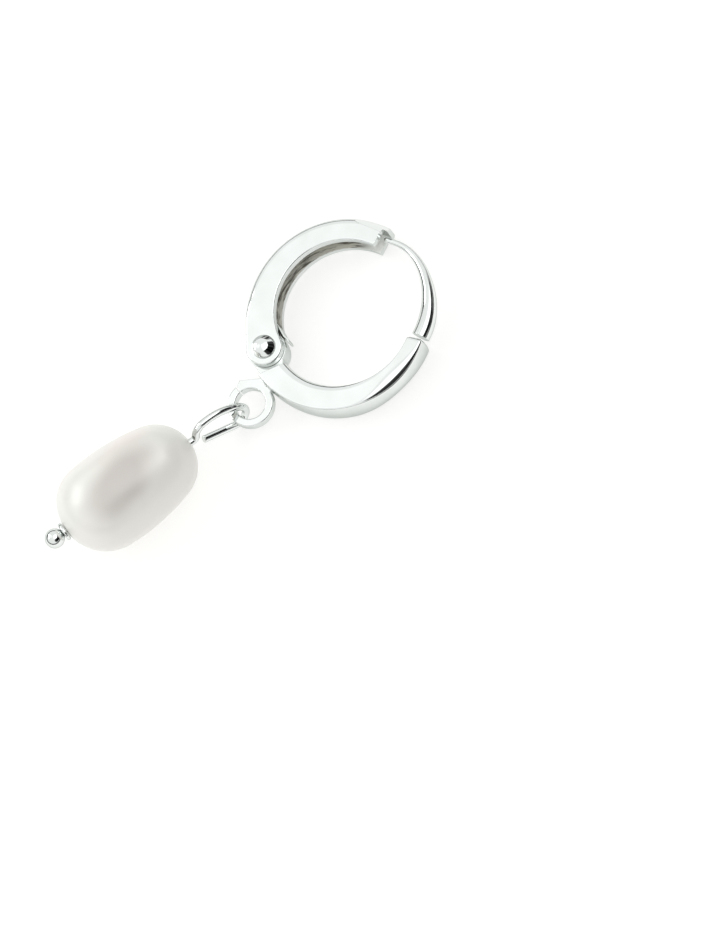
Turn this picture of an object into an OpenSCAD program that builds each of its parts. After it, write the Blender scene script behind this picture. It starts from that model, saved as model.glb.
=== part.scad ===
// Leverback hoop earring with a hanging pearl, lying on its side.
// Millimetres, +Z up. The origin is on the surface it lies on, under the middle of its box, and the
// drop hangs towards -X.

/* [Hoop] */
// Width of the lever, face to face
hoop_w = 2.4; // [2.3:0.05:2.6]
// Width of the lower body, face to face
body_w = 2.16; // [2.0:0.02:2.3]
// Outer radius of the lower body
body_r = 6.18; // [6.1:0.02:6.3]
// Inner radius of the lower body
body_inner_r = 4.78; // [4.7:0.02:4.9]
// Rounding of the body's outer edges
body_edge = 0.1; // [0.06:0.02:0.3]
// Rounding of the body's inner edges
body_inner_edge = 0.45; // [0.3:0.05:0.5]
// Outer radius of the lever
lever_r = 6.42; // [6.38:0.02:6.5]
// Rounding of the lever's outer edges
lever_edge = 0.2; // [0.1:0.05:0.3]
// Thickness of the lever's outer wall
web_t = 0.3; // [0.26:0.02:0.36]
// Thickness of each cheek of the lever
cheek_t = 0.55; // [0.5:0.01:0.6]

/* [Hinge] */
// Radius of the hinge pin
pin_r = 0.32; // [0.28:0.01:0.34]
// Radial clearance of the pin in the knuckle and the cheeks
pin_fit = 0.03; // [0.02:0.01:0.08]
// Radius of the round ears at the hinge
ear_r = 1.22; // [1.1:0.02:1.25]
// Radius of the knuckle between the ears
knuckle_r = 1.3; // [1.2:0.02:1.32]
// Clearance between the knuckle and each cheek
knuckle_side = 0.05; // [0.03:0.01:0.1]
// Radius of the pin's domed head
dome_r = 0.8; // [0.6:0.05:0.85]
// Height of the pin's domed head
dome_h = 0.5; // [0.3:0.05:0.55]
// Height of the pin's flat head on the lower side
flat_head_h = 0.1; // [0.08:0.02:0.2]

/* [Ear wire] */
// Thickness of the ear wire where it leaves the body
wire_base_d = 1.22; // [1.1:0.02:1.3]
// Thickness of the ear wire at its tip
wire_tip_d = 0.4; // [0.35:0.05:0.45]

/* [Leaf spring] */
// Width of the spring strip
spring_w = 1.1; // [0.9:0.05:1.15]
// Thickness of the spring strip
spring_t = 0.12; // [0.1:0.01:0.14]

/* [Eyelet] */
// Radius of the eyelet's hole
eyelet_hole_r = 1.03; // [1.0:0.01:1.1]
// Outer radius of the eyelet
eyelet_r = 1.56; // [1.5:0.02:1.58]
// Thickness of the eyelet's band
eyelet_w = 0.76; // [0.6:0.02:0.78]

/* [Drop] */
// Length of the pearl
pearl_l = 9.88; // [9.8:0.02:10]
// Radius of the pearl's end at the ball
pearl_ball_end_r = 3.12; // [3.0:0.02:3.14]
// Radius of the pearl's end at the eye
pearl_eye_end_r = 2.76; // [2.6:0.02:2.9]
// Radius of the long curve along the pearl
pearl_side_r = 14.8; // [12:0.2:18]
// Radius of the hole drilled through the pearl
drill_r = 0.37; // [0.36:0.01:0.45]
// Radius of the head pin's wire
stem_r = 0.26; // [0.24:0.01:0.27]
// Radius of the ball at the end of the head pin
ball_r = 0.66; // [0.6:0.02:0.7]
// Radius of the spacer disc
spacer_r = 0.64; // [0.5:0.02:0.7]
// Thickness of the spacer disc
spacer_t = 0.26; // [0.2:0.02:0.3]

/* [Hidden] */
$fn = 96;

silver = [0.86, 0.87, 0.86];
nacre = [0.93, 0.91, 0.88];
gap = 0.02;
over = 0.5;
// How much a ball in a joint of a wire stands out, so that the pieces fuse.
joint = 0.005;

// Places in the plane of the hoop, from its middle.
body_at = [-0.52, 0.04];
body_inner_at = [-0.05, -0.12];
body_flat_at = [-0.33, -0.06];
body_flat_r = 4.95;
lever_at = [0.05, 0.08];
inner_at = [0.36, 0.35];
inner_r = 4.5;
pin_at = [-5.08, 2.12];
eyelet_at = [-8.32, 0.33];
wire_at = [0.955, 0.209];
wire_arc_r = 5.094;

// The body runs from the shoulder of the ear wire round to a straight cut beside the hinge.
shoulder_angle = -60.4;
body_sweep = 133;
cut_angle = 67.2;
cut_off = 1.55;

// The lever runs from its catch end to the line where it meets the ears.
catch_angle = 17;
cheek_end_angle = 19.8;
web_r = lever_r - web_t;
slot_w = hoop_w - 2 * cheek_t;
pin_offset = pin_at - lever_at;
join_angle = atan2(pin_offset.y, pin_offset.x) - acos((lever_r - ear_r) / norm(pin_offset));
join_l = sqrt(pow(norm(pin_offset), 2) - pow(lever_r - ear_r, 2));
knuckle_clear = 0.13;
inside_angle = atan2(inner_at.y - pin_at.y, inner_at.x - pin_at.x);

// Where the lever's outer edges start to be cut away towards the catch, and how.
bevel_at = [4.96, 3.74];
bevel_turn = -69.7;
bevel_tilt = 38;

// Ear wire: angles of its joints along its arc, then its thickness as a share of the way from base
// to tip, and how far it leans off the arc, at angles.
wire_angles = [-72, -62, -53, -44, -35, -26, -17, -8, 1, 10, 19.8];
wire_taper = [[-80, 0], [-62, 0.03], [-43, 0.3], [-24, 0.64], [0, 0.93], [22, 1]];
wire_lean = [[-80, 0.1], [-62, 0.08], [-43, 0.02], [-30, 0], [0, 0], [16, -0.2], [22, -0.3]];

// Leaf spring: an arc under the lever's web, then points down to its curled tip.
spring_from = 72;
spring_to = 112;
spring_points = [[-3.3, 4.2], [-3.4, 3.3], [-3.5, 2.5], [-3.63, 1.96], [-3.63, 1.62], [-3.72, 1.4]];

// Eyelet: the band's own ends, and the corners of the tab that joins it to the body.
eyelet_from = 84;
eyelet_to = 435;
eyelet_edge = 0.1;
tab_points = [[-7.72, 2.02], [-8.02, 1.5], [-7.8, 1.0], [-6.9, -0.1], [-6.6, -0.1], [-6.0, 0.2], [-6.3, 0.7]];

// Pearl: three arcs turned about its own axis, a little off the drill hole's. It lies tilted.
pearl_at = [-17.59, 1.61];
pearl_turn = -7.1;
pearl_tilt = 8;
pearl_skew = 1.2;
pearl_off = -0.03;
pearl_ball_x = -5.05;
pearl_eye_x = pearl_ball_x + pearl_l;
end_1 = pearl_ball_x + pearl_ball_end_r;
end_2 = pearl_eye_x - pearl_eye_end_r;
end_span = end_2 - end_1;
to_1 = pearl_side_r - pearl_ball_end_r;
to_2 = pearl_side_r - pearl_eye_end_r;
side_x = end_1 + (pow(to_1, 2) - pow(to_2, 2) + pow(end_span, 2)) / (2 * end_span);
side_y = sqrt(pow(to_1, 2) - pow(side_x - end_1, 2));
slope = asin(sin(pearl_tilt) * cos(pearl_skew));
pearl_z = pearl_side_r - side_y * cos(slope) + side_x * sin(slope);

// Head pin: where its ball and its bend sit, then the eye as straights [0, length] and bends to
// one side [radius, angle].
spacer_x = pearl_ball_x - gap - spacer_t;
ball_x = spacer_x - sqrt(pow(ball_r, 2) - pow(stem_r + gap, 2)) - gap;
bend_x = 5.32;
eye_turned = [-10.6, 20.3, -1.7];
eye_heading = 105.5;
eye_bends = [[0, 0.1], [0.93, 79], [3.04, 58], [0.85, 150], [0, 2.33]];

// The hoop's middle plane above the surface, and the middle of the whole earring's box.
mid_z = flat_head_h + gap + hoop_w / 2;
right_x = wire_at.x + wire_arc_r + wire_d(0) / 2;
left_x = pearl_at.x + ball_x * cos(pearl_tilt) * cos(pearl_turn) - ball_r;
back_y = lever_at.y + lever_r;
front_y = body_at.y - body_r;
centre = [(left_x + right_x) / 2, (front_y + back_y) / 2];

function wire_d(a) = wire_base_d + (wire_tip_d - wire_base_d) * lookup(a, wire_taper);

function wire_point(a) =
    wire_at + (wire_arc_r + lookup(a, wire_lean)) * [cos(a), sin(a)];

// A smooth line through the points p, with n steps between each two.
function smooth(p, n) = [
    for (i = [0 : len(p) - 2], k = [0 : n - 1])
        let (
            t = k / n,
            a = p[max(i - 1, 0)],
            b = p[i],
            c = p[i + 1],
            d = p[min(i + 2, len(p) - 1)]
        )
        b + t * ((c - a) + t * ((2 * a - 5 * b + 4 * c - d) + t * (3 * b - a - 3 * c + d))) / 2,
    p[len(p) - 1]
];

function heading(p, i) =
    let (d = p[min(i + 1, len(p) - 1)] - p[max(i - 1, 0)])
    d / norm(d);

function side(p, i) = let (h = heading(p, i)) [-h.y, h.x];

// Puts the hoop's middle plane at its height, and the whole earring's box over the origin.
module seated() {
    translate([-centre.x, -centre.y, mid_z])
        children();
}

// The pearl's own frame: +X runs along the drill hole towards the eye.
module drop_seated() {
    translate([pearl_at.x - centre.x, pearl_at.y - centre.y, pearl_z])
        rotate([0, pearl_tilt, pearl_turn])
            children();
}

// A bar's section with all its edges rounded.
module rounded_bar(x0, x1, w, r) {
    translate([x0 + r, -w / 2])
        square([x1 - x0 - 2 * r, w]);
    translate([x0, r - w / 2])
        square([x1 - x0, w - 2 * r]);
    for (x = [x0 + r, x1 - r], y = [r - w / 2, w / 2 - r])
        translate([x, y])
            circle(r);
}

// A bar's section with only its outer edges rounded.
module outer_rounded_bar(x0, x1, w, r) {
    translate([x0, -w / 2])
        square([x1 - x0 - r, w]);
    translate([x0, r - w / 2])
        square([x1 - x0, w - 2 * r]);
    for (y = [r - w / 2, w / 2 - r])
        translate([x1 - r, y])
            circle(r);
}

// Rounds the body's inner edges off, more at the hinge than at the ear wire.
module inner_edge_cut() {
    r = body_inner_edge;
    for (side = [0, 1])
        mirror([0, 0, side])
            translate([body_flat_at.x, body_flat_at.y, body_w / 2 - r])
                rotate_extrude()
                    difference() {
                        square([body_flat_r, r + over]);
                        translate([body_flat_r, 0])
                            circle(r);
                        translate([body_flat_r - over, r])
                            square([2 * over, 2 * over]);
                    }
}

module body_arc() {
    difference() {
        translate([body_at.x, body_at.y, 0])
            rotate([0, 0, shoulder_angle - body_sweep])
                rotate_extrude(angle = body_sweep)
                    outer_rounded_bar(body_r - 2.2, body_r, body_w, body_edge);
        translate([body_inner_at.x, body_inner_at.y, -hoop_w])
            cylinder(r = body_inner_r, h = 2 * hoop_w);
        inner_edge_cut();
        translate([pin_at.x, pin_at.y, 0])
            rotate([0, 0, cut_angle])
                translate([-cut_off, -body_r / 2, -hoop_w])
                    cube([body_r, body_r, 2 * hoop_w]);
    }
}

module knuckle() {
    w = slot_w - 2 * knuckle_side;
    translate([pin_at.x, pin_at.y, -w / 2]) {
        cylinder(r = knuckle_r, h = w);
        rotate([0, 0, cut_angle])
            linear_extrude(w)
                polygon([[0, -1.1], [0, 1.1], [-2.3, 0.9], [-2.3, -0.45]]);
    }
}

// Short cones along the wire's arc, with a ball in each joint and at the tip.
module ear_wire() {
    for (i = [0 : len(wire_angles) - 1]) {
        a = wire_angles[i];
        b = wire_angles[min(i + 1, len(wire_angles) - 1)];
        run = wire_point(b) - wire_point(a);
        translate(wire_point(a)) {
            sphere(wire_d(a) / 2 + joint);
            if (norm(run) > 0)
                rotate([0, 90, atan2(run.y, run.x)])
                    cylinder(r1 = wire_d(a) / 2, r2 = wire_d(b) / 2, h = norm(run));
        }
    }
}

module eyelet() {
    translate([eyelet_at.x, eyelet_at.y, 0])
        rotate([0, 0, eyelet_from])
            rotate_extrude(angle = eyelet_to - eyelet_from)
                rounded_bar(eyelet_hole_r, eyelet_r, eyelet_w, eyelet_edge);
    difference() {
        translate([0, 0, -eyelet_w / 2])
            linear_extrude(eyelet_w)
                polygon(tab_points);
        translate([eyelet_at.x, eyelet_at.y, -hoop_w])
            cylinder(r = eyelet_hole_r + eyelet_edge, h = 2 * hoop_w);
    }
}

module hoop_body() {
    color(silver)
        seated()
            difference() {
                union() {
                    body_arc();
                    knuckle();
                    ear_wire();
                    eyelet();
                }
                translate([pin_at.x, pin_at.y, -hoop_w])
                    cylinder(r = pin_r + pin_fit, h = 2 * hoop_w);
            }
}

// The lever's outer form, before its channel is cut.
module lever_blank() {
    depth = 2.6;
    difference() {
        translate([lever_at.x, lever_at.y, 0]) {
            rotate([0, 0, catch_angle])
                rotate_extrude(angle = join_angle - catch_angle)
                    outer_rounded_bar(lever_r - depth, lever_r, hoop_w, lever_edge);
            rotate([0, 0, join_angle])
                translate([0, join_l, 0])
                    rotate([90, 0, 0])
                        linear_extrude(join_l)
                            outer_rounded_bar(lever_r - depth, lever_r, hoop_w, lever_edge);
        }
        translate([inner_at.x, inner_at.y, -hoop_w])
            cylinder(r = inner_r, h = 2 * hoop_w);
        translate([pin_at.x, pin_at.y, 0])
            rotate([0, 0, inside_angle])
                translate([0, -depth, -hoop_w])
                    cube([depth, depth, 2 * hoop_w]);
        for (side = [0, 1])
            mirror([0, 0, side])
                translate([bevel_at.x, bevel_at.y, hoop_w / 2])
                    rotate([0, 0, bevel_turn])
                        rotate([-bevel_tilt, 0, 0])
                            translate([-over, 0, 0])
                                cube([depth, depth, depth]);
    }
    translate([pin_at.x, pin_at.y, 0])
        rotate_extrude()
            outer_rounded_bar(0, ear_r, hoop_w, lever_edge);
}

module lever_slot() {
    translate([0, 0, -slot_w / 2])
        linear_extrude(slot_w) {
            translate(lever_at) {
                circle(web_r);
                rotate(join_angle)
                    translate([0, -over])
                        square([web_r, join_l + 2 * over]);
            }
            translate(pin_at)
                circle(knuckle_r + knuckle_clear);
        }
}

// What is cut off the cheeks, so that the web reaches past them at the catch.
module cheek_trim() {
    translate([lever_at.x, lever_at.y, -hoop_w])
        intersection() {
            cylinder(r = web_r, h = 2 * hoop_w);
            rotate([0, 0, cheek_end_angle])
                translate([0, -lever_r, 0])
                    cube([lever_r, lever_r, 2 * hoop_w]);
        }
}

module lever() {
    color(silver)
        seated()
            difference() {
                lever_blank();
                lever_slot();
                cheek_trim();
                translate([pin_at.x, pin_at.y, -hoop_w])
                    cylinder(r = pin_r + pin_fit, h = 2 * hoop_w);
            }
}

module leaf_spring() {
    arc_r = web_r - gap - spring_t;
    arc = [
        for (i = [0 : 8])
            let (a = spring_from + (spring_to - spring_from) * i / 8)
            lever_at + arc_r * [cos(a), sin(a)]
    ];
    line = smooth(concat(arc, spring_points), 4);
    last = len(line) - 1;
    color(silver)
        seated()
            translate([0, 0, -spring_w / 2])
                linear_extrude(spring_w)
                    polygon(concat(
                        [for (i = [0 : last]) line[i] + side(line, i) * spring_t / 2],
                        [for (i = [last : -1 : 0]) line[i] - side(line, i) * spring_t / 2]
                    ));
}

// A low dome of base radius r and height h, standing on z = 0.
module dome(r, h) {
    ball = (pow(r, 2) + pow(h, 2)) / (2 * h);
    rotate_extrude()
        intersection() {
            translate([0, h - ball])
                circle(ball);
            square([r, h]);
        }
}

module hinge_pin() {
    color(silver)
        seated()
            translate([pin_at.x, pin_at.y, 0]) {
                translate([0, 0, -hoop_w / 2 - gap])
                    cylinder(r = pin_r, h = hoop_w + 2 * gap);
                translate([0, 0, hoop_w / 2 + gap])
                    dome(dome_r, dome_h);
                translate([0, 0, -hoop_w / 2 - gap])
                    mirror([0, 0, 1])
                        dome(dome_r, flat_head_h);
            }
}

// Wire that starts along +X and follows the bends from number i on.
module bent_wire(bends, i) {
    r = bends[i][0];
    run = bends[i][1];
    sphere(stem_r + joint);
    if (r == 0) {
        rotate([0, 90, 0])
            cylinder(r = stem_r, h = run);
    } else {
        translate([0, -r, 0])
            rotate([0, 0, 90 - run])
                rotate_extrude(angle = run)
                    translate([r, 0])
                        circle(stem_r);
    }
    if (i < len(bends) - 1) {
        translate(r == 0 ? [run, 0, 0] : [r * sin(run), r * cos(run) - r, 0])
            rotate([0, 0, r == 0 ? 0 : -run])
                bent_wire(bends, i + 1);
    }
}

module head_pin() {
    color(silver)
        drop_seated() {
            translate([ball_x, 0, 0]) {
                sphere(ball_r);
                rotate([0, 90, 0])
                    cylinder(r = stem_r, h = bend_x - ball_x);
            }
            translate([bend_x, 0, 0])
                rotate(eye_turned)
                    rotate([90, 0, 0])
                        rotate([0, 0, eye_heading])
                            bent_wire(eye_bends, 0);
        }
}

module spacer() {
    color(silver)
        drop_seated()
            translate([spacer_x, 0, 0])
                rotate([0, 90, 0])
                    rotate_extrude()
                        translate([0, spacer_t / 2])
                            rounded_bar(stem_r + gap, spacer_r, spacer_t, 0.1);
}

// Half of the pearl's outline: two end circles and the long curve between them.
module pearl_half() {
    intersection() {
        union() {
            translate([0, end_1])
                circle(pearl_ball_end_r);
            translate([0, end_2])
                circle(pearl_eye_end_r);
            intersection() {
                translate([-side_y, side_x])
                    circle(pearl_side_r);
                polygon([
                    [-side_y, side_x],
                    2 * [0, end_1] - [-side_y, side_x],
                    2 * [0, end_2] - [-side_y, side_x]
                ]);
            }
        }
        translate([0, -pearl_l])
            square([pearl_l, 2 * pearl_l]);
    }
}

module pearl() {
    color(nacre)
        drop_seated()
            difference() {
                translate([0, pearl_off, 0])
                    rotate([0, 0, pearl_skew])
                        rotate([0, 90, 0])
                            rotate_extrude()
                                pearl_half();
                translate([-pearl_l, 0, 0])
                    rotate([0, 90, 0])
                        cylinder(r = drill_r, h = 2 * pearl_l);
            }
}

hoop_body();
lever();
leaf_spring();
hinge_pin();
head_pin();
spacer();
pearl();
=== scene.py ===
# %% [markdown]
# # A leverback hoop earring with a hanging pearl
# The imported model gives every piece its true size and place. This lesson dresses it: the same
# forms are modelled again with finely rounded edges and smooth walls, because polished metal shows
# every facet, and then each gets its finish. Work is done in millimetres, measured from the middle
# of the hoop, and each finished piece is seated in the model's own frame, in metres.

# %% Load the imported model
from math import acos, asin, atan2, cos, degrees, exp, pi, radians, sin, sqrt

import bpy
from mathutils import Matrix, Vector


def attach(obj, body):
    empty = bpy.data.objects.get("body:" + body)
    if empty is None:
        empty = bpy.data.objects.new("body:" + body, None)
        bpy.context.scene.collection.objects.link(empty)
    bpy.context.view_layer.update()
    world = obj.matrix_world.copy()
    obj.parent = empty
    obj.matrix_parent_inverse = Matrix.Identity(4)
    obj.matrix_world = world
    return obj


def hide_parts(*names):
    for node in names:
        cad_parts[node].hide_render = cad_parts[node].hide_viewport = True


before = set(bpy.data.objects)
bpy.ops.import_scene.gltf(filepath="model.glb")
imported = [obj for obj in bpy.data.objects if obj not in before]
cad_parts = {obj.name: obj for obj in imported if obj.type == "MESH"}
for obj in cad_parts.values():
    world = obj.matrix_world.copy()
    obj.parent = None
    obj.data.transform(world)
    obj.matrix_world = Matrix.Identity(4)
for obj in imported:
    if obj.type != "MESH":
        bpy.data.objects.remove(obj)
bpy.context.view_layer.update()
print("pieces in the model:", sorted(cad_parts))

# %% [markdown]
# ## Seating
# The hoop's middle lies 1.32 mm above the surface. The drop has a frame of its own, whose +X runs
# along the drill hole towards the eye.

# %% Where the hoop and the drop sit
MM = 0.001
HOOP_MIDDLE = Vector((8.90846, -0.18, 1.32))
HOOP_TO_DROP = Vector((-17.59, 1.61, 0))
DROP_HEIGHT = 3.13177
DROP_TURN = radians(-7.1)
DROP_TILT = radians(8)
DROP_AT = HOOP_TO_DROP + Vector((HOOP_MIDDLE.x, HOOP_MIDDLE.y, DROP_HEIGHT))
HOOP_SEAT = Matrix.Translation(HOOP_MIDDLE)
DROP_SEAT = (Matrix.Translation(DROP_AT) @ Matrix.Rotation(DROP_TURN, 4, "Z")
             @ Matrix.Rotation(DROP_TILT, 4, "Y"))
print("from the hoop's middle to the drop's:", round(HOOP_TO_DROP.length, 1), "mm")


# %% What is done to every piece
def only(*pieces):
    """Leaves these pieces selected, and the first one active."""
    bpy.ops.object.select_all(action="DESELECT")
    for piece in pieces:
        piece.select_set(True)
    bpy.context.view_layer.objects.active = pieces[0]


def seat(piece, place):
    """Puts a piece modelled in millimetres into the model's frame, with its place in its mesh."""
    only(piece)
    piece.matrix_world = Matrix.Scale(MM, 4) @ place
    bpy.ops.object.transform_apply(location=True, rotation=True, scale=True)
    print(piece.name, "has", len(piece.data.polygons), "faces")


def shade(piece, angle=32):
    """Smooth shading up to an angle in degrees. The large faces decide, so the flats stay flat."""
    only(piece)
    bpy.ops.object.shade_smooth_by_angle(angle=radians(angle))
    weigh = piece.modifiers.new("flats", "WEIGHTED_NORMAL")
    weigh.keep_sharp = True
    weigh.weight = 100
    bpy.ops.object.modifier_apply(modifier=weigh.name)


def hand_over(piece, finish, body, slot, *nodes):
    """Gives a piece its finish and its body, and hides the model's pieces that it stands for."""
    piece.data.materials.clear()
    piece.data.materials.append(finish)
    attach(piece, body)
    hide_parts(*nodes)


# %% [markdown]
# ## Tools of the bench
# Flat pieces are cut from plate: a filled circle with as many corners as the outline is laid on
# the outline's points and extruded. Turned and bent pieces are a section that is spun. Cutting and
# soldering are Boolean modifiers, applied at once. The helpers below are used by several pieces.

# %% Outlines
def arc(middle, r, start, end, step=1.5):
    """Points along an arc, its ends included. Angles are in degrees."""
    n = max(2, round(abs(end - start) / step))
    return [
        Vector((middle[0] + r * cos(radians(start + (end - start) * i / n)),
                middle[1] + r * sin(radians(start + (end - start) * i / n))))
        for i in range(n + 1)
    ]


def turned(point, angle):
    """A point of the plane, turned about the origin."""
    a = radians(angle)
    return Vector((point[0] * cos(a) - point[1] * sin(a), point[0] * sin(a) + point[1] * cos(a)))


# %% Plate, and what is done to it
def plate(name, outline, low, high):
    """A flat piece with this outline, from one height to another."""
    bpy.ops.object.select_all(action="DESELECT")
    bpy.ops.mesh.primitive_circle_add(vertices=len(outline), fill_type="NGON")
    piece = bpy.context.object
    piece.name = piece.data.name = name
    for vertex, point in zip(piece.data.vertices, outline):
        vertex.co = (point[0], point[1], low)
    bpy.ops.object.mode_set(mode="EDIT")
    bpy.ops.mesh.select_all(action="SELECT")
    bpy.ops.mesh.extrude_region_move(TRANSFORM_OT_translate={"value": (0, 0, high - low)})
    bpy.ops.mesh.select_all(action="SELECT")
    bpy.ops.mesh.normals_make_consistent(inside=False)
    bpy.ops.object.mode_set(mode="OBJECT")
    return piece


def rod(name, middle, r, low, high, sides=192):
    """A round bar standing on the plane."""
    bpy.ops.object.select_all(action="DESELECT")
    bpy.ops.mesh.primitive_cylinder_add(
        vertices=sides, radius=r, depth=high - low,
        location=(middle[0], middle[1], (low + high) / 2))
    piece = bpy.context.object
    piece.name = piece.data.name = name
    bpy.ops.object.transform_apply(location=True, rotation=True, scale=True)
    return piece


def join_by(piece, tool, operation):
    """Cuts a piece with a tool, or solders the tool to it. The tool is used up."""
    only(piece)
    cut = piece.modifiers.new("cut", "BOOLEAN")
    cut.operation = operation
    cut.object = tool
    cut.solver = "EXACT"
    bpy.ops.object.modifier_apply(modifier=cut.name)
    bpy.data.objects.remove(tool)


def round_edges(piece, width, rounds, share, held_back=True):
    """Rounds edges. share(a, b) is the part of the width that the edge between two corners gets.
    Held back, the rounding gets smaller where it would meet another edge."""
    only(piece)
    corners = piece.data.vertices
    weights = piece.data.attributes.new("bevel_weight_edge", "FLOAT", "EDGE")
    for edge, weight in zip(piece.data.edges, weights.data):
        a, b = (corners[i].co for i in edge.vertices)
        weight.value = float(share(a, b))
    rounding = piece.modifiers.new("rounding", "BEVEL")
    rounding.limit_method = "WEIGHT"
    rounding.width = width
    rounding.segments = rounds
    rounding.use_clamp_overlap = held_back
    bpy.ops.object.modifier_apply(modifier=rounding.name)
    piece.data.attributes.remove(piece.data.attributes["bevel_weight_edge"])


def clean(piece, distance=0.0005):
    """Merges corners closer than a distance and turns all faces outwards."""
    only(piece)
    bpy.ops.object.mode_set(mode="EDIT")
    bpy.ops.mesh.select_all(action="SELECT")
    bpy.ops.mesh.remove_doubles(threshold=distance)
    bpy.ops.mesh.normals_make_consistent(inside=False)
    bpy.ops.object.mode_set(mode="OBJECT")


def ease_edges(piece, width, rounds, angle):
    """Breaks all edges sharper than an angle in degrees, as tumbling and polishing do."""
    only(piece)
    ease = piece.modifiers.new("ease", "BEVEL")
    ease.width = width
    ease.segments = rounds
    ease.limit_method = "ANGLE"
    ease.angle_limit = radians(angle)
    ease.use_clamp_overlap = True
    ease.miter_outer = "MITER_ARC"
    bpy.ops.object.modifier_apply(modifier=ease.name)


# %% Sections that are swept
def wrap(name, stations, around, place):
    """A sheet rolled into a tube: place(row, column) lays each of its corners on a section.
    The sheet starts as a grid from -1 to 1, and its two open ends are filled."""
    bpy.ops.object.select_all(action="DESELECT")
    bpy.ops.mesh.primitive_grid_add(x_subdivisions=around, y_subdivisions=stations, size=2)
    piece = bpy.context.object
    piece.name = piece.data.name = name
    for vertex in piece.data.vertices:
        column = round((vertex.co.x + 1) / 2 * around)
        row = round((vertex.co.y + 1) / 2 * stations)
        vertex.co = place(row, column % around)
    only(piece)
    bpy.ops.object.mode_set(mode="EDIT")
    bpy.ops.mesh.select_all(action="SELECT")
    bpy.ops.mesh.remove_doubles(threshold=0.00005)
    bpy.ops.mesh.select_all(action="DESELECT")
    bpy.ops.mesh.select_mode(type="EDGE")
    bpy.ops.mesh.select_non_manifold(extend=False, use_wire=False, use_multi_face=False,
                                     use_non_contiguous=False, use_verts=False)
    bpy.ops.mesh.edge_face_add()
    bpy.ops.mesh.select_all(action="SELECT")
    bpy.ops.mesh.normals_make_consistent(inside=False)
    bpy.ops.object.mode_set(mode="OBJECT")
    return piece


def drawn_wire(name, path, radii):
    """Round wire along a path, with a radius at each point: a curve with a bevel, made a mesh."""
    line = bpy.data.curves.new(name, "CURVE")
    line.dimensions = "3D"
    line.bevel_depth = 1
    line.bevel_resolution = 7
    line.use_fill_caps = True
    spline = line.splines.new("POLY")
    spline.points.add(len(path) - 1)
    for point, at, r in zip(spline.points, path, radii):
        point.co = (*at.to_3d(), 1)
        point.radius = r
    piece = bpy.data.objects.new(name, line)
    bpy.context.scene.collection.objects.link(piece)
    only(piece)
    bpy.ops.object.convert(target="MESH")
    piece = bpy.context.object
    piece.name = piece.data.name = name
    clean(piece, 0.00005)
    return piece


def spun(name, outline, axis_at, sweep, steps):
    """A closed outline of (radius, height) points, turned about an upright axis.
    Sweep gives its first and last angle in degrees. A whole turn loses the outline's own face."""
    bpy.ops.object.select_all(action="DESELECT")
    bpy.ops.mesh.primitive_circle_add(vertices=len(outline), fill_type="NGON")
    piece = bpy.context.object
    piece.name = piece.data.name = name
    start = radians(sweep[0])
    for vertex, (r, z) in zip(piece.data.vertices, outline):
        vertex.co = (axis_at[0] + r * cos(start), axis_at[1] + r * sin(start), z)
    bpy.ops.object.mode_set(mode="EDIT")
    bpy.ops.mesh.select_all(action="SELECT")
    whole = abs(sweep[1] - sweep[0]) >= 360
    if whole:
        bpy.ops.mesh.delete(type="ONLY_FACE")
        bpy.ops.mesh.select_all(action="SELECT")
    bpy.ops.mesh.spin(steps=steps, angle=radians(sweep[0] - sweep[1]), use_auto_merge=whole,
                      center=(axis_at[0], axis_at[1], 0), axis=(0, 0, 1))
    bpy.ops.mesh.select_all(action="SELECT")
    bpy.ops.mesh.remove_doubles(threshold=0.0001)
    bpy.ops.mesh.delete_loose(use_verts=True, use_edges=True, use_faces=False)
    bpy.ops.mesh.select_all(action="SELECT")
    bpy.ops.mesh.normals_make_consistent(inside=False)
    bpy.ops.object.mode_set(mode="OBJECT")
    return piece


# %% [markdown]
# ## Camera
# The photograph looks down steeply, 68 degrees above the surface, with the earring turned
# 45 degrees across the frame. A long lens keeps the sides of the hoop almost parallel.

# %% Camera
TILT = radians(22)
DISTANCE = 0.299355
AIM = Vector((2.872, -8.181, 1.32)) / 1000
TO_CAMERA = Vector((0, -sin(TILT), cos(TILT)))
AWAY = Vector((0, cos(TILT), sin(TILT)))
RIGHT = (Vector((1, 0, 0)) - AWAY).normalized()
UP = TO_CAMERA.cross(RIGHT)

lens = bpy.data.cameras.new("camera")
lens.lens = 180
lens.sensor_width = 36
lens.clip_start = 0.01
camera = bpy.data.objects.new("camera", lens)
bpy.context.scene.collection.objects.link(camera)
stand = AIM + TO_CAMERA * DISTANCE
camera.matrix_world = Matrix((
    (RIGHT.x, UP.x, TO_CAMERA.x, stand.x),
    (RIGHT.y, UP.y, TO_CAMERA.y, stand.y),
    (RIGHT.z, UP.z, TO_CAMERA.z, stand.z),
    (0, 0, 0, 1)))
bpy.context.scene.camera = camera
print("camera stands", round(camera.location.length * 1000), "mm away")

# %% [markdown]
# ## The finishes
# Colours are written as the eye sees them and turned into the linear values that a shader needs.

# %% Colour and nodes
def colour(seen):
    """A hex colour as seen on a screen, in linear values."""
    parts = [int(seen[i:i + 2], 16) / 255 for i in (0, 2, 4)]
    return [p / 12.92 if p <= 0.04045 else ((p + 0.055) / 1.055) ** 2.4 for p in parts] + [1]


def add(finish, kind, settings=None, **sockets):
    """Adds a node. A socket is given a value, or another node's output to link. Sockets go by
    their name, or by i and their number where two have the same name."""
    tree = finish.node_tree
    node = tree.nodes.new(kind)
    for name, value in (settings or {}).items():
        setattr(node, name, value)
    for name, value in sockets.items():
        numbered = name[1:].isdigit()
        socket = node.inputs[int(name[1:]) if numbered else name.replace("_", " ")]
        if isinstance(value, bpy.types.NodeSocket):
            tree.links.new(value, socket)
        else:
            socket.default_value = value
    return node


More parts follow.
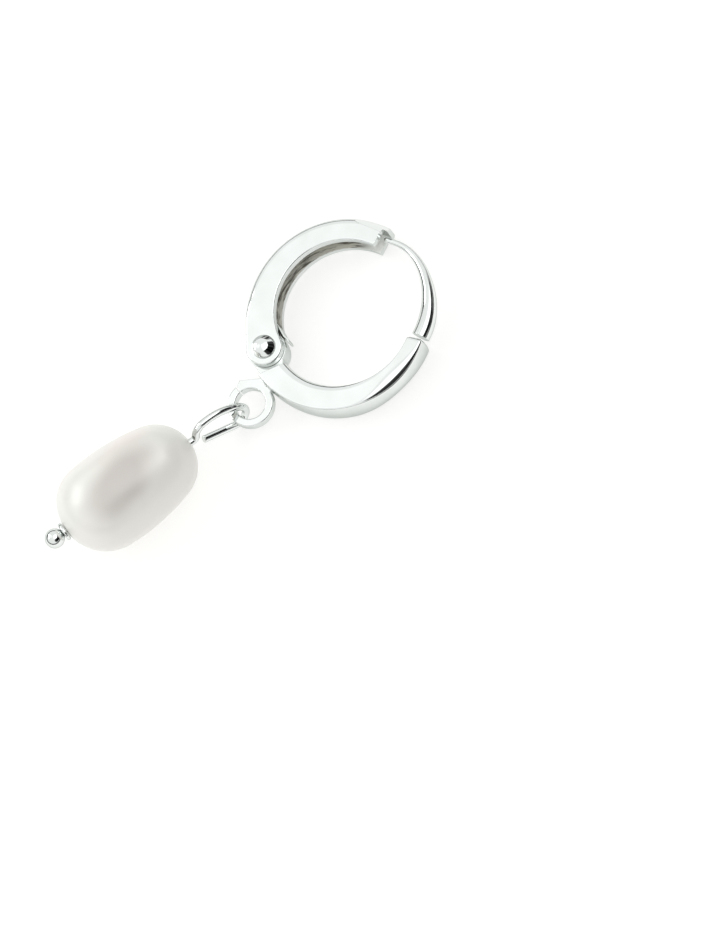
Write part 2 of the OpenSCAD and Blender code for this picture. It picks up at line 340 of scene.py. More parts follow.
def new_finish(name):
    """An empty material with its output and its place in object coordinates, in metres."""
    finish = bpy.data.materials.new(name)
    finish.use_nodes = True
    finish.node_tree.nodes.clear()
    place = add(finish, "ShaderNodeTexCoord").outputs["Object"]
    return finish, place


def show(finish, shader):
    """Connects a shader to the material's output."""
    out = add(finish, "ShaderNodeOutputMaterial")
    finish.node_tree.links.new(shader, out.inputs["Surface"])


def scale_for(size):
    """The scale of a pattern whose spots are so many millimetres wide."""
    return 1000 / size


# %% [markdown]
# ### Polished rhodium plate
# The hoop is cast brass, tumbled, polished and plated with rhodium: a white metal with a faint
# cool tint, fully metallic, with a roughness of about 0.05 to 0.1. Polishing leaves the faces
# very slightly wavy over 1 to 2 mm and crowned over 6 to 7 mm, and edges are worn round by
# 0.06 mm. Hair scratches are drawn 0.1 mm wide, coarser than real ones, because finer ones
# would not show. The leaf spring's strip was rolled and never polished, so it is duller.

# %% Rhodium plate
def rhodium(name, waviness, low_rough, high_rough, seen="EDEFEE"):
    """Plated metal: wavy by so many millimetres, with a roughness between two values."""
    finish, place = new_finish(name)
    waves = add(finish, "ShaderNodeTexNoise", Vector=place, Scale=scale_for(1.6129), Detail=1.5,
                Roughness=0.4)
    hairs = add(finish, "ShaderNodeTexNoise", Vector=place, Scale=scale_for(0.1111), Detail=3,
                Roughness=0.6)
    rough = add(finish, "ShaderNodeMapRange", i0=hairs.outputs["Fac"], i1=0.35, i2=0.7,
                i3=low_rough, i4=high_rough)
    bright = add(finish, "ShaderNodeMapRange", i0=waves.outputs["Fac"], i1=0.3, i2=0.7,
                 i3=0.0, i4=1.0)
    tint = add(finish, "ShaderNodeMix", {"data_type": "RGBA"},
               i0=bright.outputs[0], i6=colour(seen), i7=colour("E6E9E7"))
    broad = add(finish, "ShaderNodeTexNoise", Vector=place, Scale=scale_for(6.6667), Detail=0)
    worn = add(finish, "ShaderNodeBevel", {"samples": 6}, Radius=0.06 * MM)
    crowned = add(finish, "ShaderNodeBump", Height=broad.outputs["Fac"], Strength=1,
                  Distance=waviness / 100, Normal=worn.outputs["Normal"])
    wavy = add(finish, "ShaderNodeBump", Height=waves.outputs["Fac"], Strength=1,
               Distance=waviness / 1000, Normal=crowned.outputs["Normal"])
    both = add(finish, "ShaderNodeBump", Height=hairs.outputs["Fac"], Strength=0.25,
               Distance=0.000001, Normal=wavy.outputs["Normal"])
    metal = add(finish, "ShaderNodeBsdfPrincipled", Base_Color=tint.outputs[2], Metallic=1.0,
                Roughness=rough.outputs[0], Specular_Tint=colour("D0D3D1"),
                Normal=both.outputs["Normal"])
    show(finish, metal.outputs[0])
    return finish


plated_cast = rhodium("plated_cast_metal", 0.006, 0.05, 0.1)
plated_wire = rhodium("plated_wire", 0.001, 0.05, 0.09)
plated_spring = rhodium("plated_spring_strip", 0.004, 0.14, 0.24, "DCDDD8")
print("plated metal finishes:", plated_cast.name, plated_wire.name, plated_spring.name)


# %% [markdown]
# ### Pressed metal inside the channel
# No polishing wheel reaches into the lever's channel. The pressed sheet keeps its drawing lines
# there, about 0.15 mm apart, under a thin and slightly warm plating. Its corners are darkened
# with painted shade.
# It is partly metallic and satin, with a roughness near 0.4. Towards the catch, where light
# reaches in, its colour is painted near white: painted light.

# %% The channel, which no polishing wheel reaches
LEVER_AT = Vector((0.05, 0.08))


def channel_finish(middle):
    """Pressed metal with drawing lines that run round a middle, given in metres."""
    finish, place = new_finish("unpolished_channel")
    off = add(finish, "ShaderNodeVectorMath", {"operation": "SUBTRACT"}, i0=place, i1=middle)
    parts = add(finish, "ShaderNodeSeparateXYZ", i0=off.outputs[0])
    turn = add(finish, "ShaderNodeMath", {"operation": "ARCTAN2"}, i0=parts.outputs["Y"],
               i1=parts.outputs["X"])
    far = add(finish, "ShaderNodeVectorMath", {"operation": "LENGTH"}, i0=off.outputs[0])
    slow = add(finish, "ShaderNodeMath", {"operation": "MULTIPLY"}, i0=turn.outputs[0],
               i1=0.6 * MM)
    along = add(finish, "ShaderNodeCombineXYZ", i0=slow.outputs[0], i1=far.outputs["Value"],
                i2=parts.outputs["Z"])
    lines = add(finish, "ShaderNodeTexNoise", Vector=along.outputs[0], Scale=scale_for(0.15385),
                Detail=3, Roughness=0.6)
    stains = add(finish, "ShaderNodeTexNoise", Vector=place, Scale=scale_for(1.4286), Detail=2,
                 Roughness=0.5)
    dark = add(finish, "ShaderNodeMapRange", {"interpolation_type": "SMOOTHSTEP"},
               i0=lines.outputs["Fac"], i1=0.46, i2=0.6, i3=0.0, i4=1.0)
    warm = add(finish, "ShaderNodeMix", {"data_type": "RGBA"}, i0=stains.outputs["Fac"],
               i6=colour("F6F5EE"), i7=colour("E4E1D7"))
    lined = add(finish, "ShaderNodeMix", {"data_type": "RGBA"}, i0=dark.outputs[0],
                i6=warm.outputs[2], i7=colour("77746B"))
    # painted shade: the colour darkens where ambient occlusion finds a corner
    open_part = add(finish, "ShaderNodeAmbientOcclusion", {"samples": 8}, Distance=0.3 * MM)
    corner = add(finish, "ShaderNodeMapRange", i0=open_part.outputs["AO"], i1=0.5, i2=0.8,
                 i3=1.0, i4=0.0)
    painted_corner_shade = add(finish, "ShaderNodeMix", {"data_type": "RGBA"}, i0=corner.outputs[0],
                i6=lined.outputs[2], i7=colour("6E6B63"))
    # painted light: near the catch, where light reaches in, the colour turns near white
    painted_catch_light = add(finish, "ShaderNodeMapRange", {"interpolation_type": "SMOOTHSTEP"},
                     i0=turn.outputs[0], i1=radians(28), i2=radians(42), i3=1.0, i4=0.0)
    seen = add(finish, "ShaderNodeMix", {"data_type": "RGBA"}, i0=painted_catch_light.outputs[0],
               i6=painted_corner_shade.outputs[2], i7=colour("F8F9F6"))
    ridges = add(finish, "ShaderNodeBump", Height=lines.outputs["Fac"], Strength=0.6,
                 Distance=0.02 * MM)
    metal = add(finish, "ShaderNodeBsdfPrincipled", Base_Color=seen.outputs[2],
                Metallic=0.25, Roughness=0.42, Normal=ridges.outputs["Normal"])
    show(finish, metal.outputs[0])
    return finish


unpolished = channel_finish((HOOP_MIDDLE + LEVER_AT.to_3d()) * MM)
print("finish:", unpolished.name)

# %% [markdown]
# ### Nacre
# A freshwater pearl is nacre all through: thin layers of aragonite, index about 1.53 to 1.68, that
# scatter light and mirror it softly, with a roughness near 0.3 under a satin coat. The body is a
# warm white, with broad faint patches of rose and of grey, 4 to 5 mm across. A darker band along
# its back is a painted reflection of the dark sky, and one side is painted whiter as painted
# light. Its skin is uneven over 0.7 mm.

# %% Nacre
def nacre_finish():
    """White nacre with soft patches of overtone and a satin mirror."""
    finish, place = new_finish("satin_nacre")
    patches = add(finish, "ShaderNodeTexNoise", Vector=place, Scale=scale_for(3.8462), Detail=2,
                  Roughness=0.45)
    rose = add(finish, "ShaderNodeMapRange", {"interpolation_type": "SMOOTHSTEP"},
               i0=patches.outputs["Fac"], i1=0.42, i2=0.66, i3=0.0, i4=1.0)
    cool = add(finish, "ShaderNodeTexNoise", Vector=place, Scale=scale_for(5.2632), Detail=1,
               Roughness=0.4, Distortion=0.4)
    grey = add(finish, "ShaderNodeMapRange", {"interpolation_type": "SMOOTHSTEP"},
               i0=cool.outputs["Fac"], i1=0.45, i2=0.7, i3=0.0, i4=1.0)
    warm = add(finish, "ShaderNodeMix", {"data_type": "RGBA"}, i0=rose.outputs[0],
               i6=colour("F1F0EA"), i7=colour("F0E8E3"))
    body = add(finish, "ShaderNodeMix", {"data_type": "RGBA"}, i0=grey.outputs[0],
               i6=warm.outputs[2], i7=colour("EEEDE8"))
    across = add(finish, "ShaderNodeSeparateXYZ", i0=place)
    # painted light: the colour turns whiter towards -Y, standing for light falling on that side
    side = add(finish, "ShaderNodeMapRange", {"interpolation_type": "SMOOTHSTEP"},
               i0=across.outputs["Y"], i1=-0.8 * MM, i2=2.2 * MM, i3=1.0, i4=0.0)
    painted_lit_side = add(finish, "ShaderNodeMix", {"data_type": "RGBA"}, i0=side.outputs[0],
                     i6=body.outputs[2], i7=colour("FAF6F1"))
    # painted reflection: a darker band along the pearl's back stands for the dark sky mirrored in
    # the satin
    zone = add(finish, "ShaderNodeMapping", {"vector_type": "TEXTURE"}, Vector=place,
               Location=(-8.6 * MM, 0.95 * MM, 6 * MM), Rotation=(0, 0, radians(12)),
               Scale=(3.4 * MM, 1.7 * MM, 2.4 * MM))
    reach = add(finish, "ShaderNodeVectorMath", {"operation": "LENGTH"}, i0=zone.outputs[0])
    ragged = add(finish, "ShaderNodeMath", {"operation": "MULTIPLY_ADD"},
                 i0=patches.outputs["Fac"], i1=0.7, i2=reach.outputs["Value"])
    painted_dark_band = add(finish, "ShaderNodeMapRange", {"interpolation_type": "SMOOTHSTEP"},
               i0=ragged.outputs[0], i1=0.7, i2=1.55, i3=1.0, i4=0.0)
    body_with_painted_light_and_shade = add(finish, "ShaderNodeMix", {"data_type": "RGBA"}, i0=painted_dark_band.outputs[0],
                i6=painted_lit_side.outputs[2], i7=colour("D2CBC6"))
    skin = add(finish, "ShaderNodeTexNoise", Vector=place, Scale=scale_for(0.71429), Detail=4,
               Roughness=0.55)
    rough = add(finish, "ShaderNodeMapRange", i0=skin.outputs["Fac"], i1=0.3, i2=0.7,
                i3=0.29, i4=0.37)
    uneven = add(finish, "ShaderNodeBump", Height=skin.outputs["Fac"], Strength=0.5,
                 Distance=0.01 * MM)
    pearl = add(finish, "ShaderNodeBsdfPrincipled", Base_Color=body_with_painted_light_and_shade.outputs[2],
                Roughness=rough.outputs[0], IOR=1.6, Metallic=0.04,
                Coat_Weight=0.25, Coat_Roughness=0.25, Coat_IOR=1.5,
                Normal=uneven.outputs["Normal"])
    show(finish, pearl.outputs[0])
    return finish


nacre = nacre_finish()
print("finish:", nacre.name)

# %% [markdown]
# ## The lower half of the hoop
# On the real earring this half is cast solid. Its section is a bar with flat sides. The hollow of
# the hoop is bored off its middle, so the bar gets thinner towards the ear wire. The inner edges
# are eased, and the outer ones are rounded off most in the middle of the half. The sections are
# laid out along the arc, and a sheet of rows and columns is wrapped on them, since one spin can't
# change its section on the way.

# %% The bar's section at an angle round the hoop
BODY_AT = Vector((-0.52, 0.04))
BODY_R = 6.18
BODY_HALF = 1.08
BORE_AT, BORE_R = (-0.05, -0.12), 4.78
FLAT_AT, FLAT_R = (-0.33, -0.06), 4.95
SWELL = 0.08
INNER_EASE = 0.42
EDGE = 0.13
WIDEST_AT, WIDE_REACH = -90, 34
SHOULDER = -60.4


def ray_to_circle(start, angle, middle, r):
    """How far a ray at an angle goes from a point to a circle round it."""
    d = Vector(start) - Vector(middle)
    along = d.x * cos(radians(angle)) + d.y * sin(radians(angle))
    return -along + sqrt(along ** 2 - d.length_squared + r ** 2)


def body_section(angle, inset):
    """The bar's outline as (radius, height) points, shrunk by an inset at its rounded end."""
    bore = ray_to_circle(BODY_AT, angle, BORE_AT, BORE_R) + inset
    flat = ray_to_circle(BODY_AT, angle, FLAT_AT, FLAT_R) + inset
    half = BODY_HALF - inset
    rim = BODY_R - inset
    wide = max(0.0, 1 - abs(angle - WIDEST_AT) / WIDE_REACH)
    bump = wide * wide * (3 - 2 * wide)
    edge, drop = EDGE + 0.75 * bump, EDGE + 0.42 * bump
    depth = min(INNER_EASE, max(flat - bore, 0.05))
    reach = asin(depth / INNER_EASE)
    inner = [
        (bore + depth - INNER_EASE * sin(reach * i / 7),
         half - INNER_EASE * (1 - cos(reach * i / 7)))
        for i in range(8)
    ]
    outer = [
        (rim - edge + edge * sin(pi / 2 * i / 12), half - drop + drop * cos(pi / 2 * i / 12))
        for i in range(13)
    ]
    face = [(inner[0][0] + 0.03, half), (outer[0][0] - 0.03, half)]
    top = inner[::-1] + face + outer
    wall_top, rim_top = top[0][1], top[-1][1]
    wall = [(bore, wall_top * (1 - 2 * i / 6)) for i in range(1, 6)]
    side = [
        (rim + SWELL * (1 - (1 - 2 * i / 10) ** 2), rim_top * (1 - 2 * i / 10))
        for i in range(1, 10)
    ]
    low = [(r, -z) for r, z in top[::-1]]
    return top + side + low + wall[::-1]


around = len(body_section(-90, 0))
print("corners round the bar:", around)

# %% The bar, with its rounded shoulder and its straight cut at the hinge
MIDDLE_R = 5.5
ROUNDED_END = [(0.0, 0.24), (0.02, 0.17), (0.06, 0.1), (0.12, 0.04), (0.18, 0.01), (0.24, 0.0)]
END_ROOM, STATION_STEP, STATIONS = 3.6, 1.25, 103
stations = [(SHOULDER - degrees(back / MIDDLE_R), inset) for back, inset in ROUNDED_END]
stations += [(SHOULDER - END_ROOM - STATION_STEP * i, 0.0) for i in range(1, STATIONS + 1)]


def on_bar(row, column):
    """A corner of the bar."""
    angle, inset = stations[row]
    r, z = body_section(angle, inset)[column]
    a = radians(angle)
    return Vector((BODY_AT.x + r * cos(a), BODY_AT.y + r * sin(a), z))


hoop_body = wrap("hoop_body_shown", len(stations) - 1, around, on_bar)
PIN_AT = Vector((-5.08, 2.12))
HINGE_TURN = 67.2
cut = turned((-1.55, 0), HINGE_TURN) + PIN_AT
facing = turned((1, 0), HINGE_TURN)
only(hoop_body)
bpy.ops.object.mode_set(mode="EDIT")
bpy.ops.mesh.select_all(action="SELECT")
bpy.ops.mesh.bisect(plane_co=(cut.x, cut.y, 0), plane_no=(facing.x, facing.y, 0),
                    use_fill=True, clear_outer=True, threshold=0.0001)
bpy.ops.object.mode_set(mode="OBJECT")
ease_edges(hoop_body, 0.05, 3, 50)
shade(hoop_body)
print("bar:", len(hoop_body.data.polygons), "faces")

# %% [markdown]
# ## Knuckle
# The knuckle is the round end of the casting that sits between the lever's two cheeks and turns on
# the rivet. It is a short round bar with a bored hole, soldered to a wedge that reaches the bar.

# %% Knuckle
KNUCKLE_HALF = 0.6
knuckle = rod("knuckle", PIN_AT, 1.3, -KNUCKLE_HALF, KNUCKLE_HALF)
wedge_line = [turned(p, HINGE_TURN) + PIN_AT
              for p in ((-2.3, -0.45), (-2.3, 0.9), (0, 1.1), (0, -1.1))]
wedge = plate("wedge", wedge_line, -KNUCKLE_HALF, KNUCKLE_HALF)
join_by(knuckle, wedge, "UNION")
HOLE_R = 0.35
join_by(knuckle, rod("bore", PIN_AT, HOLE_R, -2, 2, 64), "DIFFERENCE")
ease_edges(knuckle, 0.04, 2, 50)
shade(knuckle)
print("knuckle:", len(knuckle.data.polygons), "faces")

# %% [markdown]
# ## Ear wire
# The wire is drawn out thin towards its tip, so that it slips through the ear. It is a curve with
# a thickness at each point, flared where it was soldered into the shoulder, with a rounded tip.

# %% Ear wire
WIRE_AT = Vector((0.955, 0.209))
WIRE_R = 5.094
WIRE_START, WIRE_END, WIRE_STEP = -72, 19.8, 1.2
# rows of (angle, thickness)
THICK = [(-80, 1.22), (-62, 1.195), (-43, 0.974), (-24, 0.695), (0, 0.457), (19.8, 0.4)]
# rows of (angle, how far the wire leaves its arc)
LEAN = [(-80, 0.1), (-62, 0.08), (-43, 0.02), (-30, 0.0), (0, 0.0), (16, -0.2), (22, -0.3)]


def between(table, x):
    """A value read from a short table, joined by smooth curves."""
    for i, ((x0, y0), (x1, y1)) in enumerate(zip(table, table[1:])):
        if x <= x1 or i == len(table) - 2:
            before = table[max(i - 1, 0)]
            after = table[min(i + 2, len(table) - 1)]
            m0 = (y1 - before[1]) / (x1 - before[0])
            m1 = (after[1] - y0) / (after[0] - x0)
            t = min(max((x - x0) / (x1 - x0), 0), 1)
            w = x1 - x0
            return ((2 * t ** 3 - 3 * t ** 2 + 1) * y0 + (t ** 3 - 2 * t ** 2 + t) * w * m0
                    + (3 * t ** 2 - 2 * t ** 3) * y1 + (t ** 3 - t ** 2) * w * m1)
    return table[-1][1]


def wire_point(angle):
    """A point on the ear wire's middle line."""
    r = WIRE_R + between(LEAN, angle)
    return WIRE_AT + r * Vector((cos(radians(angle)), sin(radians(angle))))


steps = int((WIRE_END - WIRE_START) / WIRE_STEP)
angles = [WIRE_START + WIRE_STEP * i for i in range(steps + 1)]
path = [wire_point(a) for a in angles]
radii = [between(THICK, a) / 2 for a in angles]
tip_r = radii[-1]
heading = (path[-1] - path[-2]).normalized()
for i in range(1, 7):
    turn = pi / 2 * i / 6
    path.append(wire_point(angles[-1]) + heading * tip_r * sin(turn))
    radii.append(max(tip_r * cos(turn), 0.004))
ear_wire = drawn_wire("ear_wire", path, radii)
shade(ear_wire, 60)
print("ear wire:", len(ear_wire.data.polygons), "faces")

# %% [markdown]
# ## Eyelet
# The ring that carries the drop is bent from flat bar, with softly rounded edges and a split that
# was never soldered shut, so its section is spun by 3 degrees less than a whole turn. A tab of the
# same thickness joins it to the hoop.

# %% Eyelet
EYELET_AT = Vector((-8.32, 0.33))
EYELET_HALF = 0.38
EYELET_SWEEP = (87, 444)


def soft_bar(inner, outer, half, r):
    """A rectangle with corners rounded by a radius r, as (radius, height) points."""
    rounds = 4
    corners = ((outer - r, half - r, 0), (inner + r, half - r, 90),
               (inner + r, r - half, 180), (outer - r, r - half, 270))
    return [
        (x + r * cos(radians(a + 90 * i / rounds)), z + r * sin(radians(a + 90 * i / rounds)))
        for x, z, a in corners for i in range(rounds + 1)
    ]


eyelet = spun("eyelet", soft_bar(1.03, 1.56, EYELET_HALF, 0.1), EYELET_AT, EYELET_SWEEP, 120)
tab_line = [(-7.72, 2.02), (-8.13, 1.86), (-8.18, 1.45), (-7.8, 1.0),
            (-6.9, -0.1), (-6.6, -0.1), (-6.0, 0.2), (-6.3, 0.7)]
tab = plate("tab", tab_line, -EYELET_HALF, EYELET_HALF)
join_by(tab, rod("tab_bore", EYELET_AT, 1.13, -1, 1, 120), "DIFFERENCE")
round_edges(tab, 0.08, 3, lambda a, b: abs(a.z - b.z) < 0.01)
join_by(eyelet, tab, "UNION")
clean(eyelet)
shade(eyelet)
print("eyelet:", len(eyelet.data.polygons), "faces")

# %% The soldered body is one piece
only(hoop_body, knuckle, ear_wire, eyelet)
bpy.ops.object.join()
hoop_body = bpy.context.object
seat(hoop_body, HOOP_SEAT)
hand_over(hoop_body, plated_cast, "hoop", "plated_metal", "hoop_body")

# %% [markdown]
# ## Lever
# The upper half is a channel pressed from sheet: an outer web and two cheeks that end in round
# ears at the rivet. Its outline is cut from plate, the edges are rounded, the catch end is filed
# down to a blunt nose, and the catch, the rivet's hole and the channel are cut out. The channel
# and the room for the knuckle are one cutter, because two that share a face leave open edges.

# %% Lever: outline
LEVER_R = 6.42
EAR_R = 1.22
LEVER_HALF = 1.2
CATCH_TURN = 17
to_pin = PIN_AT - LEVER_AT
join = degrees(atan2(to_pin.y, to_pin.x) - acos((LEVER_R - EAR_R) / to_pin.length))
INNER_AT, INNER_R = Vector((0.36, 0.35)), 4.5
inside = degrees(atan2(INNER_AT.y - PIN_AT.y, INNER_AT.x - PIN_AT.x))
to_inner = ray_to_circle(LEVER_AT, CATCH_TURN, INNER_AT, INNER_R)
catch_inner = LEVER_AT + to_inner * turned((1, 0), CATCH_TURN)
inner_end = degrees(atan2(catch_inner.y - INNER_AT.y, catch_inner.x - INNER_AT.x))
outer_line = (arc(LEVER_AT, LEVER_R, CATCH_TURN, join, 1)
              + arc(PIN_AT, EAR_R, join, 360 + inside, 3))
inner_line = arc(INNER_AT, INNER_R, 180 + inside, inner_end, 1)
lever = plate("lever_shown", outer_line + inner_line[1:], -LEVER_HALF, LEVER_HALF)
print("lever's plate: the straight side starts at", round(join, 2), "degrees")

# %% Lever: rounded edges
FADE = 16
EAR_SHARE = 0.28


def spot(point):
    """A corner's place in the plane, rounded so that it can be looked up."""
    return round(point.x, 3), round(point.y, 3)


outer_spots = {spot(p) for p in outer_line}
inner_spots = {spot(p) for p in inner_line}


def outer_share(a, b):
    """The back of the lever is well rounded. This fades to a small part before the ear."""
    if abs(a.z - b.z) > 0.01 or not {spot(a), spot(b)} <= outer_spots:
        return 0
    at = (a + b) / 2 - LEVER_AT.to_3d()
    left = (join - degrees(atan2(at.y, at.x)) % 360) / FADE
    return EAR_SHARE + (1 - EAR_SHARE) * min(max(left, 0), 1)


def inner_share(a, b):
    """The inner edges of the cheeks are only broken."""
    return (abs(a.z - b.z) < 0.01 and (a - b).length < 0.3
            and {spot(a), spot(b)} <= inner_spots)


round_edges(lever, 0.42, 8, outer_share, held_back=False)
round_edges(lever, 0.1, 3, inner_share, held_back=False)
clean(lever)
print("rounded lever:", len(lever.data.polygons), "faces")

# %% Lever: the filed nose
NOSE_AT = (4.96, 3.74)
FILED = radians(45)
outward = turned((0, 1), -69.7)
for side in (1, -1):
    normal = (outward.x * sin(FILED), outward.y * sin(FILED), side * cos(FILED))
    only(lever)
    bpy.ops.object.mode_set(mode="EDIT")
    bpy.ops.mesh.select_all(action="SELECT")
    bpy.ops.mesh.bisect(plane_co=(*NOSE_AT, side * LEVER_HALF), plane_no=normal,
                        use_fill=True, clear_outer=True, threshold=0.0001)
    bpy.ops.object.mode_set(mode="OBJECT")
print("filed nose:", len(lever.data.polygons), "faces")

# %% Lever: channel, catch and hole
WEB_R = LEVER_R - 0.3
SLOT_HALF = 0.65
SLOT_PAST_JOIN = 2.36
CATCH_ROOM = 19.8
channel_line = arc(LEVER_AT, WEB_R, -20, join, 1) + [
    LEVER_AT + turned((r, SLOT_PAST_JOIN), join) for r in (WEB_R, 0)]
channel = plate("channel", channel_line, -SLOT_HALF, SLOT_HALF)
join_by(channel, rod("knuckle_room", PIN_AT, 1.43, -SLOT_HALF, SLOT_HALF), "UNION")
catch_line = arc(LEVER_AT, WEB_R, 0, CATCH_ROOM, 1) + [
    LEVER_AT + turned((2.5, 0), a) for a in (CATCH_ROOM, 0)]
join_by(lever, plate("catch_room", catch_line, -2, 2), "DIFFERENCE")
join_by(lever, rod("rivet_hole", PIN_AT, HOLE_R, -2, 2, 64), "DIFFERENCE")
join_by(lever, channel, "DIFFERENCE")
clean(lever)
shade(lever)


# %% Lever: which faces are inside the channel
def in_channel(face):
    """Faces between the cheeks that look inwards or sideways, but not those at the catch."""
    out = (face.center - INNER_AT.to_3d()).normalized()
    from_lever = face.center - LEVER_AT.to_3d()
    return (abs(face.center.z) < SLOT_HALF + 0.005
            and face.normal.dot(out) < 0.3 and abs(face.normal.cross(out).z) < 0.5
            and atan2(from_lever.y, from_lever.x) > radians(34))


inside_faces = [face.index for face in lever.data.polygons if in_channel(face)]
seat(lever, HOOP_SEAT)
hand_over(lever, plated_cast, "lever", "plated_metal", "lever")
lever.data.materials.append(unpolished)
for i in inside_faces:
    lever.data.polygons[i].material_index = 1
print("faces inside the channel:", len(inside_faces))

# %% [markdown]
# ## Leaf spring
# A strip of hard metal lies in the channel under the web and curls over the knuckle, which it
# holds open or shut. Its middle line is an arc and a smooth tail, and the strip is cut from plate
# on edge, because its bends lie in one plane.

# %% Leaf spring
SPRING_T = 0.12
SPRING_HALF = 0.55
tail = [(-3.3, 4.2), (-3.4, 3.3), (-3.5, 2.5), (-3.63, 1.96), (-3.63, 1.62), (-3.72, 1.4)]
middle_r = WEB_R - 0.02 - SPRING_T
stops = arc(LEVER_AT, middle_r, 72, 112, 5) + [Vector(p) for p in tail]


def smooth_line(points, n):
    """A smooth line through points, with n steps between each two."""
    line = []
    for i in range(len(points) - 1):
        a, b, c = points[max(i - 1, 0)], points[i], points[i + 1]
        d = points[min(i + 2, len(points) - 1)]
        for k in range(n):
            t = k / n
            line.append(b + t * ((c - a) + t * ((2 * a - 5 * b + 4 * c - d)
                                                + t * (3 * b - a - 3 * c + d))) / 2)
    return line + [points[-1]]


def offset_line(line, distance):
    """The line moved to its left by a distance."""
    moved = []
    for i, point in enumerate(line):
        along = (line[min(i + 1, len(line) - 1)] - line[max(i - 1, 0)]).normalized()
        moved.append(point + distance * Vector((-along.y, along.x)))
    return moved


strip = smooth_line(stops, 8)
outline = offset_line(strip, SPRING_T / 2) + offset_line(strip, -SPRING_T / 2)[::-1]
leaf_spring = plate("leaf_spring_shown", outline, -SPRING_HALF, SPRING_HALF)
ease_edges(leaf_spring, 0.025, 2, 50)
shade(leaf_spring)
seat(leaf_spring, HOOP_SEAT)
hand_over(leaf_spring, plated_spring, "lever", "plated_metal", "leaf_spring")

# %% [markdown]
# ## Rivet
# The rivet's head was peened to a tall dome on the side that shows, and nearly flat on the other.
# Its outline is spun about its own axis, and the tall head then leans a little, as hammered ones
# do.

# %% Rivet
HEAD_R = 0.8
SHANK_R = 0.32
SEAT_Z = LEVER_HALF + 0.02
# the tall head's outline in rows of (radius, height above its seat)
HAMMERED = [(HEAD_R, 0.0), (HEAD_R, 0.05), (0.78, 0.1), (0.71, 0.17), (0.61, 0.27), (0.52, 0.36),
            (0.48, 0.395), (0.42, 0.42), (0.3, 0.455), (0.15, 0.488), (0.0, 0.5)]


def dome_line(r, h):
    """A low dome's outline from its edge to its top, as (radius, height) points."""
    steps = 14
    ball = (r * r + h * h) / (2 * h)
    low = ball - h
    start = asin(min(low / ball, 1))
    rises = [start + (pi / 2 - start) * i / steps for i in range(steps + 1)]
    return [(ball * cos(a), ball * sin(a) - low) for a in rises]


top = [(r, z + SEAT_Z) for r, z in HAMMERED]
under = [(max(r, 0.0), -z - SEAT_Z) for r, z in dome_line(HEAD_R, 0.1)]
shank = [(0.78, -SEAT_Z), (SHANK_R, -SEAT_Z), (SHANK_R, SEAT_Z), (0.78, SEAT_Z)]
hinge_pin = spun("hinge_pin_shown", under[::-1] + shank + top, PIN_AT, (0, 360), 72)
for vertex in hinge_pin.data.vertices:
    lean_over = max(vertex.co.z - LEVER_HALF - 0.1, 0) / 0.4
    vertex.co += Vector((-0.1, 0.09, 0)) * lean_over
shade(hinge_pin, 40)
seat(hinge_pin, HOOP_SEAT)
hand_over(hinge_pin, plated_cast, "lever", "plated_metal", "hinge_pin")

# %% [markdown]
# ## Head pin
# A ball-ended wire runs through the pearl, turns sharply as it leaves it, and is rolled into an
# oval eye through the eyelet. The eye is a chain of straights and bends, worked out turn by turn
# and then placed by the eye's own frame.

# %% Head pin: its middle line
BALL_X, SPACER_X, BEND_X = -5.948, -5.33, 5.32
STEM_R = 0.26
eye_frame = (Matrix.Translation((BEND_X, 0, 0)) @ Matrix.Rotation(radians(-1.7), 4, "Z")
             @ Matrix.Rotation(radians(20.3), 4, "Y") @ Matrix.Rotation(radians(-10.6), 4, "X")
             @ Matrix.Rotation(radians(90), 4, "X") @ Matrix.Rotation(radians(105.5), 4, "Z"))
# rows of (radius of the bend, degrees), or of ("straight", length)
EYE_BENDS = [("straight", 0.1), (0.93, 79), (3.04, 58), (0.85, 150), ("straight", 2.33)]
TIP = 0.06


def rolled(bends):
    """The points of a wire that starts along +X and bends to its right."""
    at, heading, line = Vector((0, 0)), 0.0, [Vector((0, 0))]
    for r, run in bends:
        if r == "straight":
            n = max(1, round(run / 0.15))
            line += [at + turned((run * i / n, 0), heading) for i in range(1, n + 1)]
        else:
            n = max(4, round(run / 5))
            hub = at + turned((0, -r), heading)
            line += [hub + turned((0, r), heading - run * i / n) for i in range(1, n + 1)]
            heading -= run
        at = line[-1]
    return [eye_frame @ Vector((p.x, p.y, 0)) for p in line]


eye = rolled(EYE_BENDS)
corner = Vector((BEND_X, 0, 0))
leave, enter = corner - Vector((0.3, 0, 0)), eye[4]
bend = [leave.lerp(corner, t).lerp(corner.lerp(enter, t), t)
        for t in (i / 10 for i in range(11))]
stem = [Vector((BALL_X + (leave.x - BALL_X) * i / 30, 0, 0)) for i in range(30)]
pin_path = stem + bend + eye[5:]
pin_radii = [STEM_R] * len(pin_path)
end = (pin_path[-1] - pin_path[-2]).normalized()
for i in range(1, 5):
    turn = pi / 2 * i / 4
    pin_path.append(pin_path[-1] + end * (TIP * (sin(turn) - sin(turn - pi / 8))))
    pin_radii.append(STEM_R - TIP * (1 - cos(turn)))
head_pin = drawn_wire("head_pin_shown", pin_path, pin_radii)

# %% Head pin: the ball, melted round at the end of the wire
BALL_R = 0.66
bpy.ops.object.select_all(action="DESELECT")
bpy.ops.mesh.primitive_uv_sphere_add(segments=64, ring_count=40, radius=BALL_R)
ball = bpy.context.object
for vertex in ball.data.vertices:
    vertex.co = Vector((vertex.co.z, vertex.co.y, -vertex.co.x)) + Vector((BALL_X, 0, 0))
join_by(head_pin, ball, "UNION")
shade(head_pin, 50)
seat(head_pin, DROP_SEAT)
hand_over(head_pin, plated_wire, "hoop", "plated_metal", "head_pin")

# %% [markdown]
# ## Spacer
# A small stamped disc keeps the ball from pulling into the drill hole. Its section is spun like
# the eyelet's, and it is laid on its side on the wire.

